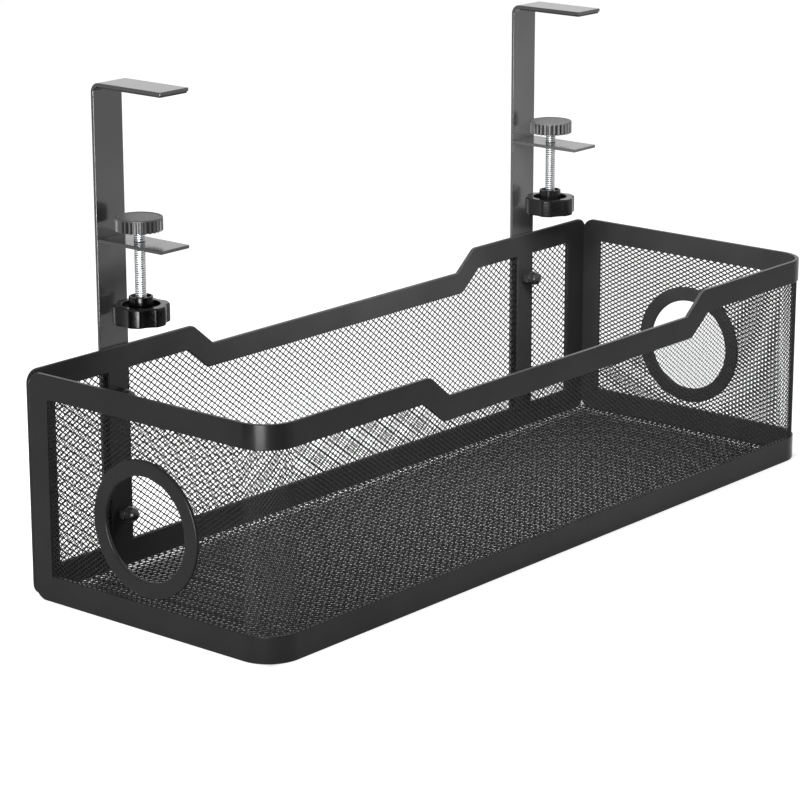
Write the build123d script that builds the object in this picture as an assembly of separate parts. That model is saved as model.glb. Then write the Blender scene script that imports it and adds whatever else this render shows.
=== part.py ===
from build123d import *
import math
import os

# Under-desk cable tray: a mesh basket with rails round its edges, hung from two screw clamps.
# Millimetres. X runs along the tray, Y from its front to its back, Z up.
# The origin is the middle of the tray's footprint, on the surface that the rails stand on.

# Basket, outside
tray_length = 400.0
tray_depth = 142.0
tray_height = 103.0
bend_radius = 16.0
rail_corner_radius = 6.0

# Rails: thin folded bands that hold the edge of the mesh
rail_thickness = 2.0
top_rail_width = 11.0
bottom_rail_width = 12.0
end_rail_width = 10.5
back_side_rail_width = 15.5

# Lowered stretch of the long top rails: how far its floor starts from each end of the tray
dip_depth = 10.6
dip_left_inset = 115.5
dip_right_inset = 106.5
dip_slope_run = 13.0
dip_round_radius = 5.0

# Mesh sheets, as thick as the mesh, and their seat in the rails
mesh_thickness = 0.8
hem_depth = 8.0
hem_clearance = 0.05
floor_height = 1.0

# Openings of the mesh sheets: diamonds between crossed bars stand for the fine mesh
diamond_width = 33.0
diamond_height = 26.0
mesh_bar_width = 3.0
smallest_opening_area = 12.0
bend_diamond_span = 18.0
floor_border = 5.0

# Cable port in each end, with its ring, a little behind the middle of the end
port_height = 45.5
port_setback = 1.0
port_radius = 23.2
port_ring_width = 7.2
ring_hem_depth = 4.5

# Bars of the back frame that the brackets are bolted to, as far from each end of the tray as the brackets
left_bracket_inset = 54.0
right_bracket_inset = 51.5
bar_width = 12.0
upper_bolt_height = 80.5
lower_bolt_height = 26.0

# Bracket: a flat strip bent into a hook at the top
bracket_width = 17.5
bracket_thickness = 1.6
bracket_height = 222.0
bracket_foot_height = 4.0
bracket_bend_radius = 4.5
hook_reach = 40.4

# Liner under the hook
liner_thickness = 0.8
liner_margin = 0.5

# Lip that carries the clamp screw
lip_height = 153.0
lip_reach = 39.0
lip_thickness = 1.6

# Clamp screw, its pad and its knob
screw_radius = 2.5
screw_reach = 17.3
screw_chamfer = 0.5
running_clearance = 0.05
press_clearance = 0.02
screw_end_clearance = 0.1
pad_radius = 10.5
pad_bottom_height = 158.0
pad_thickness = 6.0
pad_socket_depth = 3.5
pad_rib_count = 28
pad_groove_depth = 0.5
pad_groove_share = 0.42
knob_bottom_height = 116.5
knob_body_height = 8.5
knob_radius = 12.7
knob_lobes = 6
knob_scallop_radius = 11.0
knob_scallop_depth = 1.3
knob_edge_round = 0.9
knob_dish_radius = 8.5
knob_dish_depth = 2.4
knob_hub_height = 3.6
knob_hub_radius = 5.4
knob_hub_wall = 0.9
knob_hub_recess = 0.9
knob_floor = 2.5

# Bolts and cap nuts
bolt_radius = 2.0
bolt_hole_clearance = 0.25
bolt_head_radius = 3.8
bolt_head_height = 2.2
bolt_head_round = 1.5
bolt_socket_width = 2.5
bolt_socket_depth = 1.3
nut_width = 7.0
nut_hex_length = 4.6
nut_length = 9.5
nut_bore_depth = 7.0
nut_corner_chamfer = 0.25
thread_engagement = 6.5

# Worked out from the sizes above
half_length = tray_length / 2
half_depth = tray_depth / 2
bracket_middle = {-1: left_bracket_inset - half_length, 1: half_length - right_bracket_inset}
back_inner = half_depth - rail_thickness
window_top = tray_height - top_rail_width
mesh_inset = (rail_thickness - mesh_thickness) / 2
slope_angle = math.atan2(dip_depth, dip_slope_run)
bracket_back = half_depth + bracket_thickness
screw_y = half_depth - screw_reach
screw_top = pad_bottom_height + pad_socket_depth
knob_body_top = knob_bottom_height + knob_body_height
knob_hub_top = knob_body_top + knob_hub_height
screw_bottom = knob_bottom_height + knob_floor
bolt_hole_radius = bolt_radius + bolt_hole_clearance
beyond = 10.0


def box_between(x, y, z):
    """Box from its (low, high) pairs along X, Y and Z."""
    size = (x[1] - x[0], y[1] - y[0], z[1] - z[0])
    middle = ((x[0] + x[1]) / 2, (y[0] + y[1]) / 2, (z[0] + z[1]) / 2)
    return Pos(*middle) * Box(*size)


def cylinder_z(radius, low, high, x=0.0, y=0.0):
    """Upright cylinder between two heights."""
    return Pos(x, y, (low + high) / 2) * Cylinder(radius, high - low)


def cylinder_y(radius, low, high, x, z):
    """Cylinder along Y."""
    return Pos(x, (low + high) / 2, z) * Rot(90, 0, 0) * Cylinder(radius, high - low)


def cylinder_x(radius, low, high, y, z):
    """Cylinder along X."""
    return Pos((low + high) / 2, y, z) * Rot(0, 90, 0) * Cylinder(radius, high - low)


def elevation_prism(outline, low, high):
    """A flat outline in X and Z, given depth from low to high along Y."""
    plane = Plane(origin=(0, high, 0), x_dir=(1, 0, 0), z_dir=(0, -1, 0))
    return extrude(plane * outline, amount=high - low)


def dip_corners(inset):
    """X of the dip's four corners from left to right, for an outline that runs inset from the rail's edge."""
    shift = inset * math.tan(slope_angle / 2)
    left = dip_left_inset - half_length - shift
    right = half_length - dip_right_inset + shift
    return left - dip_slope_run, left, right, right + dip_slope_run


def dipped_outline(half_width, low, inset, rounded=None):
    """Long wall's outline, with the dip in its top. rounded is upper or lower, the dip corners that are rounded."""
    left_upper, left_lower, right_lower, right_upper = dip_corners(inset)
    top = tray_height - inset
    bottom_of_dip = top - dip_depth
    points = [
        (-half_width, low),
        (half_width, low),
        (half_width, top),
        (right_upper, top),
        (right_lower, bottom_of_dip),
        (left_lower, bottom_of_dip),
        (left_upper, top),
        (-half_width, top),
    ]
    outline = Sketch() + make_face(Polyline(*points, close=True))
    if rounded is None:
        return outline
    rounded_x = (left_upper, right_upper) if rounded == "upper" else (left_lower, right_lower)
    near_top = [v for v in outline.vertices() if v.Y > low + dip_depth]
    corners = [v for v in near_top if min(abs(v.X - x) for x in rounded_x) < 1e-6]
    return fillet(corners, dip_round_radius)


def above_rail(inset, rounded=None):
    """What is cut away over a long wall's top edge, dip and all."""
    wide = half_length + beyond
    cut_away = Pos(0, tray_height) * Rectangle(2 * wide, 2 * (dip_depth + inset + beyond))
    return cut_away - dipped_outline(wide, -beyond, inset, rounded)


def basket_plan(inset, rear):
    """Basket's outline seen from above, inset from its outside, with the two bent front corners."""
    half_width = half_length - inset
    front = inset - half_depth
    plan = Pos(0, (front + rear) / 2) * Rectangle(2 * half_width, rear - front)
    front_corners = plan.vertices().sort_by(Axis.Y)[:2]
    return fillet(front_corners, bend_radius - inset)


def wrap_wall(inner_inset, outer_inset, low, high, rear):
    """Wall that runs round the left end, the front and the right end."""
    ring = basket_plan(outer_inset, rear) - basket_plan(inner_inset, rear + beyond)
    return Pos(0, 0, low) * extrude(ring, amount=high - low)


def diamond_openings(outline):
    """Diamonds between crossed bars, centred on a flat outline and cut off by it."""
    box = outline.bounding_box()
    columns = math.ceil(box.size.X / diamond_width) + 1
    rows = math.ceil(box.size.Y / diamond_height) + 1
    bar_spacing = diamond_width * diamond_height / math.hypot(diamond_width, diamond_height)
    share = (1 - mesh_bar_width / bar_spacing) / 2
    reach_x, reach_y = share * diamond_width, share * diamond_height
    diamond = make_face(Polyline((reach_x, 0), (0, reach_y), (-reach_x, 0), (0, -reach_y), close=True))
    places = list(GridLocations(diamond_width, diamond_height, columns, rows))
    places += list(GridLocations(diamond_width, diamond_height, columns + 1, rows + 1))
    centre = Pos(box.center().X, box.center().Y)
    openings = outline & (Sketch() + [centre * place * diamond for place in places])
    return Sketch() + [face for face in openings.faces() if face.area > smallest_opening_area]


def front_of_basket(outline):
    """The front wall's share of a long wall's outline, taken back to where the bends end."""
    return elevation_prism(outline, -half_depth - beyond, bend_radius - half_depth)


def wrap_mesh_sheet(clearance):
    """Mesh that runs round three sides, with the clearance added all over it."""
    margin = top_rail_width - hem_depth - clearance
    low = bottom_rail_width - hem_depth - clearance
    rear = back_inner - end_rail_width + hem_depth + clearance
    inner = mesh_inset + mesh_thickness + clearance
    outer = mesh_inset - clearance
    sheet = wrap_wall(inner, outer, low, tray_height - margin, rear)
    return sheet - front_of_basket(above_rail(margin))


def make_wrap_frame():
    """Rails of the left end, the front and the right end, bent from one band."""
    wall = wrap_wall(rail_thickness, 0, 0, tray_height, back_inner)
    rear_edges = [e for e in wall.edges().filter_by(Axis.X) if abs(e.center().Y - back_inner) < 1e-6]
    frame = fillet(rear_edges, rail_corner_radius)
    frame -= front_of_basket(above_rail(0, "upper"))
    wide = half_length + beyond
    frame -= front_of_basket(dipped_outline(wide, bottom_rail_width, top_rail_width, "lower"))
    end_window_rear = back_inner - end_rail_width
    frame -= box_between((-wide, wide), (bend_radius - half_depth, end_window_rear), (bottom_rail_width, window_top))
    return frame - wrap_mesh_sheet(hem_clearance)


def end_openings():
    """Openings of the mesh in both ends, clear of the port rings."""
    front = bend_radius - half_depth
    rear = back_inner - end_rail_width
    window_height = window_top - bottom_rail_width
    window = Pos((front + rear) / 2, bottom_rail_width + window_height / 2) * Rectangle(rear - front, window_height)
    window -= Pos(port_setback, port_height) * Circle(port_radius + port_ring_width)
    wide = half_length + beyond
    plane = Plane(origin=(-wide, 0, 0), x_dir=(0, 1, 0), z_dir=(1, 0, 0))
    return extrude(plane * diamond_openings(window), amount=2 * wide)


def bend_openings(side):
    """Openings of the mesh where it bends round a front corner. side is -1 for the left bend, 1 for the right."""
    window_height = window_top - bottom_rail_width
    window = Pos(0, bottom_rail_width + window_height / 2) * Rectangle(bend_diamond_span, window_height)
    centre = (side * (half_length - bend_radius), bend_radius - half_depth, 0)
    plane = Plane(origin=centre, x_dir=(1, side, 0), z_dir=(side, -1, 0))
    return extrude(plane * diamond_openings(window), amount=bend_radius)


def make_wrap_mesh():
    """Mesh of the left end, the front and the right end, with a hole for each cable port."""
    sheet = wrap_mesh_sheet(0)
    hole_radius = port_radius + port_ring_width - ring_hem_depth
    wide = half_length + beyond
    sheet -= cylinder_x(hole_radius, -wide, wide, port_setback, port_height)
    front_window = dipped_outline(half_length - bend_radius, bottom_rail_width, top_rail_width)
    sheet -= front_of_basket(diamond_openings(front_window))
    return sheet - end_openings() - bend_openings(-1) - bend_openings(1)


def back_mesh_sheet(clearance):
    """Flat sheet inside the back rails, with the clearance added all over it."""
    half_width = half_length - back_side_rail_width + hem_depth + clearance
    low = bottom_rail_width - hem_depth - clearance
    outline = dipped_outline(half_width, low, top_rail_width - hem_depth - clearance)
    front = back_inner + mesh_inset - clearance
    return elevation_prism(outline, front, half_depth - mesh_inset + clearance)


def bolt_places():
    """X and Z of the bolts, two to each bracket."""
    return [(bracket_middle[side], z) for side in (-1, 1) for z in (lower_bolt_height, upper_bolt_height)]


def make_back_mesh():
    """Mesh of the back wall, with the bolt holes, and left whole along the two bars."""
    sheet = back_mesh_sheet(0)
    for x, z in bolt_places():
        sheet -= cylinder_y(bolt_hole_radius, back_inner, half_depth, x, z)
    window = dipped_outline(half_length - back_side_rail_width, bottom_rail_width, top_rail_width)
    for middle in bracket_middle.values():
        window -= Pos(middle, tray_height / 2) * Rectangle(bar_width, tray_height)
    return sheet - elevation_prism(diamond_openings(window), back_inner, half_depth)


def make_back_frame():
    """Flat back frame: four rails and the two upright bars that carry the brackets."""
    panel = elevation_prism(dipped_outline(half_length, 0, 0, "upper"), back_inner, half_depth)
    corner_edges = [e for e in panel.edges().filter_by(Axis.Y) if abs(abs(e.center().X) - half_length) < 1e-6]
    panel = fillet(corner_edges, rail_corner_radius)
    window = dipped_outline(half_length - back_side_rail_width, bottom_rail_width, top_rail_width, "lower")
    openings = elevation_prism(window, back_inner - beyond, half_depth + beyond)
    for side in (-1, 1):
        middle = bracket_middle[side]
        bar = (middle - bar_width / 2, middle + bar_width / 2)
        openings -= box_between(bar, (0, half_depth + 2 * beyond), (0, tray_height))
    frame = panel - openings - back_mesh_sheet(hem_clearance)
    for x, z in bolt_places():
        frame -= cylinder_y(bolt_hole_radius, back_inner - beyond, half_depth + beyond, x, z)
    return frame


def make_floor_mesh():
    """Flat mesh floor, cut to the inside of the bottom rails."""
    plan = basket_plan(rail_thickness, back_inner)
    border = rail_thickness + floor_border
    plan -= diamond_openings(basket_plan(border, back_inner - floor_border))
    return Pos(0, 0, floor_height) * extrude(plan, amount=mesh_thickness)


def make_port_ring(side):
    """Ring folded over the edge of the mesh round a cable port. side is -1 for the left end, 1 for the right."""
    inner_face = half_length - rail_thickness
    low, high = sorted((side * inner_face, side * half_length))
    outer_radius = port_radius + port_ring_width
    ring = cylinder_x(outer_radius, low, high, port_setback, port_height)
    ring -= cylinder_x(port_radius, low - beyond, high + beyond, port_setback, port_height)
    wall = (rail_thickness - mesh_thickness) / 2 - hem_clearance
    groove_bottom = outer_radius - ring_hem_depth - hem_clearance
    groove = cylinder_x(outer_radius + beyond, low + wall, high - wall, port_setback, port_height)
    groove -= cylinder_x(groove_bottom, low, high, port_setback, port_height)
    return ring - groove


def make_bracket(side):
    """Strip that stands behind the back frame and bends forward into the hook."""
    middle = bracket_middle[side]
    across = (middle - bracket_width / 2, middle + bracket_width / 2)
    hook_end = half_depth - hook_reach
    body = box_between(across, (hook_end, bracket_back), (bracket_foot_height, bracket_height))
    under = bracket_height - bracket_thickness
    hollow = box_between(across, (hook_end - beyond, half_depth), (bracket_foot_height - beyond, under))
    body -= hollow
    outer_edge = [
        e
        for e in body.edges().filter_by(Axis.X)
        if abs(e.center().Y - bracket_back) < 1e-6 and abs(e.center().Z - bracket_height) < 1e-6
    ]
    body = fillet(outer_edge, bracket_bend_radius)
    inner_edge = [
        e
        for e in body.edges().filter_by(Axis.X)
        if abs(e.center().Y - half_depth) < 1e-6 and abs(e.center().Z - under) < 1e-6
    ]
    body = fillet(inner_edge, bracket_bend_radius - bracket_thickness)
    for z in (lower_bolt_height, upper_bolt_height):
        body -= cylinder_y(bolt_hole_radius, half_depth - beyond, bracket_back + beyond, middle, z)
    return body


def make_liner(side):
    """Soft strip under the hook."""
    middle = bracket_middle[side]
    half_width = bracket_width / 2 - liner_margin
    rear = half_depth - (bracket_bend_radius - bracket_thickness)
    top = bracket_height - bracket_thickness
    front = half_depth - hook_reach + liner_margin
    return box_between((middle - half_width, middle + half_width), (front, rear), (top - liner_thickness, top))


def make_lip(side):
    """Plate welded to the bracket, with the hole that the clamp screw runs in."""
    middle = bracket_middle[side]
    across = (middle - bracket_width / 2, middle + bracket_width / 2)
    plate = box_between(across, (half_depth - lip_reach, half_depth), (lip_height - lip_thickness, lip_height))
    return plate - cylinder_z(screw_radius + running_clearance, 0, bracket_height, middle, screw_y)


def make_screw(side):
    """Clamp screw, as wide as its thread."""
    middle = bracket_middle[side]
    body = cylinder_z(screw_radius, screw_bottom, screw_top, middle, screw_y)
    return chamfer(body.edges().filter_by(GeomType.CIRCLE), screw_chamfer)


def make_pad(side):
    """Round pad on top of the screw, grooved down its side, with the socket that it turns on."""
    middle = bracket_middle[side]
    high = pad_bottom_height + pad_thickness
    pitch = 360 / pad_rib_count
    half_groove = math.radians(pitch * pad_groove_share / 2)
    points = []
    for number in range(pad_rib_count):
        centre = math.radians(number * pitch)
        next_groove = centre + math.radians(pitch) - half_groove
        for angle, radius in (
            (centre - half_groove, pad_radius - pad_groove_depth),
            (centre + half_groove, pad_radius - pad_groove_depth),
            (centre + half_groove, pad_radius),
            (next_groove, pad_radius),
        ):
            points.append((radius * math.cos(angle), radius * math.sin(angle)))
    outline = make_face(Polyline(*points, close=True))
    body = Pos(middle, screw_y, pad_bottom_height) * extrude(outline, amount=pad_thickness)
    body &= cylinder_z(pad_radius, pad_bottom_height, high, middle, screw_y)
    socket_top = screw_top + screw_end_clearance
    return body - cylinder_z(screw_radius + running_clearance, 0, socket_top, middle, screw_y)


def make_knob(side):
    """Six-lobed knob: a round hub stands in its dished top, and it is closed at the bottom."""
    middle = bracket_middle[side]
    outline = Sketch() + Circle(knob_radius)
    reach = knob_radius + knob_scallop_radius - knob_scallop_depth
    for number in range(knob_lobes):
        angle = number * 360 / knob_lobes
        outline -= Rot(0, 0, angle) * Pos(reach, 0) * Circle(knob_scallop_radius)
    outline = fillet(outline.vertices(), knob_edge_round)
    body = Pos(0, 0, knob_bottom_height) * extrude(outline, amount=knob_body_height)
    rims = [e for e in body.edges() if abs(e.bounding_box().size.Z) < 1e-6]
    body = fillet(rims, knob_edge_round)
    dish_floor = knob_body_top - knob_dish_depth
    body -= cylinder_z(knob_dish_radius, dish_floor, knob_hub_top)
    body += cylinder_z(knob_hub_radius, dish_floor, knob_hub_top)
    body -= cylinder_z(knob_hub_radius - knob_hub_wall, knob_hub_top - knob_hub_recess, knob_hub_top)
    body -= cylinder_z(screw_radius + press_clearance, screw_bottom, knob_hub_top + beyond)
    return Pos(middle, screw_y, 0) * body


def hexagon_along_y(width, low, high, x, z):
    """Hexagonal prism along Y, with a corner at the top and at the bottom."""
    outline = Pos(x, z) * RegularPolygon(width / 2, 6, major_radius=False, rotation=30)
    return elevation_prism(outline, low, high)


def make_bolt(x, z):
    """Button-head bolt, pushed in from behind the bracket."""
    tip = back_inner - thread_engagement
    shank = cylinder_y(bolt_radius, tip, bracket_back, x, z)
    head = cylinder_y(bolt_head_radius, bracket_back, bracket_back + bolt_head_height, x, z)
    rim = head.edges().filter_by(GeomType.CIRCLE).sort_by(Axis.Y)[-1]
    head = fillet(rim, bolt_head_round)
    top = bracket_back + bolt_head_height
    socket = hexagon_along_y(bolt_socket_width, top - bolt_socket_depth, top + beyond, x, z)
    return shank + head - socket


def make_cap_nut(x, z):
    """Domed hexagonal nut on the bolt's end, inside the basket."""
    dome_radius = nut_width / 2 - nut_corner_chamfer
    tip = back_inner - nut_length
    hexagon = hexagon_along_y(nut_width, back_inner - nut_hex_length, back_inner, x, z)
    neck = cylinder_y(dome_radius, tip + dome_radius, back_inner, x, z)
    dome = Pos(x, tip + dome_radius, z) * Sphere(dome_radius)
    bore = cylinder_y(bolt_radius + press_clearance, back_inner - nut_bore_depth, back_inner + beyond, x, z)
    return hexagon + neck + dome - bore


def all_nodes():
    """Every piece of the tray, by name."""
    nodes = {
        "wrap_frame": make_wrap_frame(),
        "back_frame": make_back_frame(),
        "wrap_mesh": make_wrap_mesh(),
        "back_mesh": make_back_mesh(),
        "floor_mesh": make_floor_mesh(),
    }
    for word, side in (("left", -1), ("right", 1)):
        nodes[f"port_ring_{word}"] = make_port_ring(side)
        nodes[f"bracket_{word}"] = make_bracket(side)
        nodes[f"hook_liner_{word}"] = make_liner(side)
        nodes[f"clamp_lip_{word}"] = make_lip(side)
        nodes[f"clamp_screw_{word}"] = make_screw(side)
        nodes[f"clamp_pad_{word}"] = make_pad(side)
        nodes[f"clamp_knob_{word}"] = make_knob(side)
        for level, z in (("lower", lower_bolt_height), ("upper", upper_bolt_height)):
            nodes[f"bolt_{word}_{level}"] = make_bolt(bracket_middle[side], z)
            nodes[f"cap_nut_{word}_{level}"] = make_cap_nut(bracket_middle[side], z)
    return nodes


os.makedirs("parts", exist_ok=True)
for name, solid in all_nodes().items():
    export_step(solid, f"parts/{name}.step")
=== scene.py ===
import bmesh
import bpy
import math
from contextlib import contextmanager
from mathutils import Matrix, Vector


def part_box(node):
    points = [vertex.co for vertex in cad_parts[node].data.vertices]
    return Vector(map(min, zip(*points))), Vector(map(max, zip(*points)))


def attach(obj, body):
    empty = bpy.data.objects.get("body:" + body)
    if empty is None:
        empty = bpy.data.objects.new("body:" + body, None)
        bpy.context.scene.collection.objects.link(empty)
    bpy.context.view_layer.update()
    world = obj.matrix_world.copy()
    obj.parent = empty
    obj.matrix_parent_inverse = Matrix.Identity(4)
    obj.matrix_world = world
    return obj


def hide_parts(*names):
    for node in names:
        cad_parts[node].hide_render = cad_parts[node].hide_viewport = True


# Under-desk cable tray: rails, woven mesh, hooked brackets and screw clamps, dressed over the solid model.
# Metres, in the solid model's frame: X along the tray, Y from its front to its back, Z up.

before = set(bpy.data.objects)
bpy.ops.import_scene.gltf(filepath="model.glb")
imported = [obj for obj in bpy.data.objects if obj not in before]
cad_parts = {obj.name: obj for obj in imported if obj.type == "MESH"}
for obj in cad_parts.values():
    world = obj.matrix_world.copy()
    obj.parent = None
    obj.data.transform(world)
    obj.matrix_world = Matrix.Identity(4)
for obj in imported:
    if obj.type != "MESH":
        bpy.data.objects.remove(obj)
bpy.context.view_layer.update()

MM = 0.001
TINY = 0.01 * MM
SIDES = ("left", "right")
LEVELS = ("lower", "upper")

# Rails
RAIL_THICKNESS = 2.0 * MM
TOP_RAIL = 11.0 * MM
BOTTOM_RAIL = 12.0 * MM
END_RAIL = 10.5 * MM
BACK_SIDE_RAIL = 15.5 * MM
BAR_WIDTH = 12.0 * MM
BEND_RADIUS = 16.0 * MM
BEND_STEPS = 16
RAIL_CORNER = 6.0 * MM
RAIL_EDGE = 0.55 * MM
SPARE = 10.0 * MM

# Lowered stretch of the long rails, from the tray's left and right ends
DIP_DEPTH = 10.6 * MM
DIP_LEFT = 115.5 * MM
DIP_RIGHT = 106.5 * MM
DIP_SLOPE_RUN = 13.0 * MM
DIP_ROUND = 1.8 * MM

# Cable port
PORT_RADIUS = 23.2 * MM
RING_WIDTH = 7.2 * MM
RING_STEPS = 96
RING_EDGE = 0.7 * MM

# Woven mesh round the left end, the front and the right end: all of its diamonds have one height, and each
# stretch has its own width of a diamond and radius of the wire
WRAP_HEIGHT = 2.23 * MM
LEFT_END_MESH = (3.0 * MM, 0.26 * MM)
BEND_MESH = (1.56 * MM, 0.2 * MM)
FRONT_MESH = (3.0 * MM, 0.22 * MM)
RIGHT_END_MESH = (4.1 * MM, 0.35 * MM)

# Woven mesh of the back and the floor: width and height of a diamond, and radius of the wire
BACK_DIAMOND = (4.1 * MM, 3.1 * MM)
FLOOR_DIAMOND = (4.1 * MM, 3.1 * MM)
BACK_WIRE = 0.32 * MM
FLOOR_WIRE = 0.31 * MM

# How far a wire rises and sinks where it crosses another, in radii, and how far it runs in under the rails
OVER_AND_UNDER = 0.6
HEMMED = 1.6 * MM

# Bracket, lip and liner
STRIP_THICKNESS = 1.6 * MM
STRIP_BEND = 4.5 * MM
STRIP_EDGE = 0.3 * MM
LINER_EDGE = 0.2 * MM

# Clamp screw, pad and knob
THREAD_PITCH = 1.0 * MM
THREAD_DEPTH = 0.4 * MM
RUNNING_CLEARANCE = 0.05 * MM
SCREW_END_CLEARANCE = 0.1 * MM
HOLE_STEPS = 48
PAD_RIBS = 28
PAD_STEPS = 6
PAD_GROOVE_STEPS = 3
PAD_GROOVE_DEPTH = 1.1 * MM
PAD_GROOVE_END = 0.25 * MM
PAD_RIM = 0.6 * MM
PAD_RIM_ROUND = 0.35 * MM
PAD_FACE_BORDER = 1.1 * MM
PAD_FACE_SLOPE = 0.3 * MM
PAD_FACE_DROP = 0.2 * MM
KNOB_LOBES = 6
SCALLOP_RADIUS = 11.0 * MM
SCALLOP_DEPTH = 1.3 * MM
LOBE_ROUND = 0.55 * MM
KNOB_STEPS = 48
KNOB_BODY = 8.5 * MM
KNOB_RIM = 0.8 * MM
KNOB_EDGE = 0.25 * MM
DISH_RADIUS = 8.5 * MM
DISH_DEPTH = 2.4 * MM
DISH_STEPS = 96
HUB_RADIUS = 5.4 * MM
HUB_WALL = 0.9 * MM
HUB_RECESS = 0.9 * MM
HUB_SLOPE = 0.1 * MM
HUB_FOOT = 1 * MM
HUB_STEPS = 64

# Bolts and cap nuts
BOLT_RADIUS = 2.0 * MM
BOLT_HEAD_RADIUS = 3.8 * MM
BOLT_HEAD_HEIGHT = 2.2 * MM
BOLT_HEAD_ROUND = 1.5 * MM
BOLT_HEAD_STEPS = 48
BOLT_EDGE = 0.12 * MM
SHANK_STEPS = 32
SHANK_IN_HEAD = 0.5 * MM
SOCKET_WIDTH = 2.5 * MM
SOCKET_DEPTH = 1.3 * MM
NUT_WIDTH = 7.0 * MM
NUT_HEX = 4.6 * MM
NUT_EDGE = 0.35 * MM
DOME_STEP = 0.25 * MM
NECK_IN_NUT = 1 * MM

# The tray's own corners
tray_low = Vector((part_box("wrap_frame")[0].x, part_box("wrap_frame")[0].y, 0))
tray_high = Vector((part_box("wrap_frame")[1].x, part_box("back_frame")[1].y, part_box("wrap_frame")[1].z))
back_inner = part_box("back_frame")[0].y
window_top = tray_high.z - TOP_RAIL


def dip_corners(inset):
    """X of the dip's four corners from left to right, for a line that runs inset below the rail's edge."""
    shift = inset * math.tan(math.atan2(DIP_DEPTH, DIP_SLOPE_RUN) / 2)
    left = tray_low.x + DIP_LEFT - shift
    right = tray_high.x - DIP_RIGHT + shift
    return left - DIP_SLOPE_RUN, left, right, right + DIP_SLOPE_RUN


def rail_drop(x, inset):
    """How far the long rail's line has dropped at X."""
    left_upper, left_lower, right_lower, right_upper = dip_corners(inset)
    from_left = (x - left_upper) / (left_lower - left_upper)
    from_right = (right_upper - x) / (right_upper - right_lower)
    return DIP_DEPTH * max(min(from_left, from_right, 1), 0)


# Shaping


def activate(piece):
    """Makes the piece the only one selected, and the active one."""
    bpy.ops.object.select_all(action="DESELECT")
    piece.select_set(True)
    bpy.context.view_layer.objects.active = piece


@contextmanager
def editing(piece):
    """Edit mode on one piece."""
    activate(piece)
    bpy.ops.object.mode_set(mode="EDIT")
    yield
    bpy.ops.object.mode_set(mode="OBJECT")


def pick(piece, kind, test):
    """Selects only the VERT, EDGE or FACE elements that pass the test."""
    bpy.ops.mesh.select_mode(type=kind)
    bpy.ops.mesh.select_all(action="DESELECT")
    shape = bmesh.from_edit_mesh(piece.data)
    elements = {"VERT": shape.verts, "EDGE": shape.edges, "FACE": shape.faces}[kind]
    for element in elements:
        if test(element):
            element.select_set(True)
    shape.select_flush_mode()
    bmesh.update_edit_mesh(piece.data)


def middle(edge):
    """Middle of an edge."""
    return (edge.verts[0].co + edge.verts[1].co) / 2


def runs_along(edge, axis):
    """Whether an edge runs along axis 0, 1 or 2."""
    way = edge.verts[1].co - edge.verts[0].co
    return abs(way[axis]) > way.length * 0.999


def settle(piece, name):
    """Names a new piece, and puts its place, turn and scale into its mesh."""
    piece.name = name
    activate(piece)
    bpy.ops.object.transform_apply(location=True, rotation=True, scale=True)
    return piece


def start_block(name, low, high):
    """A block between two corners, to be shaped further."""
    low, high = Vector(low), Vector(high)
    bpy.ops.object.select_all(action="DESELECT")
    bpy.ops.mesh.primitive_cube_add(size=1, location=(low + high) / 2)
    bpy.context.object.scale = high - low
    return settle(bpy.context.object, name)


ALONG_Y = (math.pi / 2, 0, 0)


def start_round(name, radius, low, high, steps, turn=(0, 0, 0)):
    """A round bar between two points, which stands upright unless the turn lays it between them."""
    low, high = Vector(low), Vector(high)
    bpy.ops.object.select_all(action="DESELECT")
    bpy.ops.mesh.primitive_cylinder_add(
        vertices=steps, radius=radius, depth=(high - low).length, location=(low + high) / 2, rotation=turn
    )
    return settle(bpy.context.object, name)


def start_upright(name, radius, axis, bottom, top, steps):
    """A round bar that stands on a point of the plan, from one height to another."""
    return start_round(name, radius, (axis.x, axis.y, bottom), (axis.x, axis.y, top), steps)


def start_lying(name, radius, axis, front, rear, steps):
    """A round bar that lies along Y from front to rear."""
    return start_round(name, radius, (axis.x, front, axis.z), (axis.x, rear, axis.z), steps, ALONG_Y)


def apply(piece, modifier):
    """Applies a modifier to the piece."""
    activate(piece)
    bpy.ops.object.modifier_apply(modifier=modifier.name)


def combine(piece, other, way):
    """Cuts the other shape out of the piece, or adds it, and removes the other."""
    modifier = piece.modifiers.new("combine", "BOOLEAN")
    modifier.object = other
    modifier.operation = way
    modifier.solver = "EXACT"
    apply(piece, modifier)
    bpy.data.objects.remove(other, do_unlink=True)


def cut(piece, *cutters):
    """Cuts each cutter out of the piece."""
    for cutter in cutters:
        combine(piece, cutter, "DIFFERENCE")


def round_edges(piece, width, steps=3, sharper_than=40):
    """Rounds every edge that turns by more than the given degrees, and keeps flat faces flat."""
    bevel = piece.modifiers.new("edges", "BEVEL")
    bevel.width = width
    bevel.segments = steps
    bevel.limit_method = "ANGLE"
    bevel.angle_limit = math.radians(sharper_than)
    apply(piece, bevel)
    smooth(piece)


def smooth(piece, angle=40):
    """Smooth shading that leaves sharp edges sharp and flat faces flat."""
    activate(piece)
    bpy.ops.object.shade_smooth_by_angle(angle=math.radians(angle))
    normals = piece.modifiers.new("normals", "WEIGHTED_NORMAL")
    normals.keep_sharp = True
    apply(piece, normals)


def place(piece, body, slot, finish, *nodes):
    """Gives a piece its body and its finish, and hides the nodes that it stands for. The slot is not used.
    """
    piece.data.materials.clear()
    piece.data.materials.append(finish)
    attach(piece, body)
    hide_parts(*nodes)
    return piece


# Finishes


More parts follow.
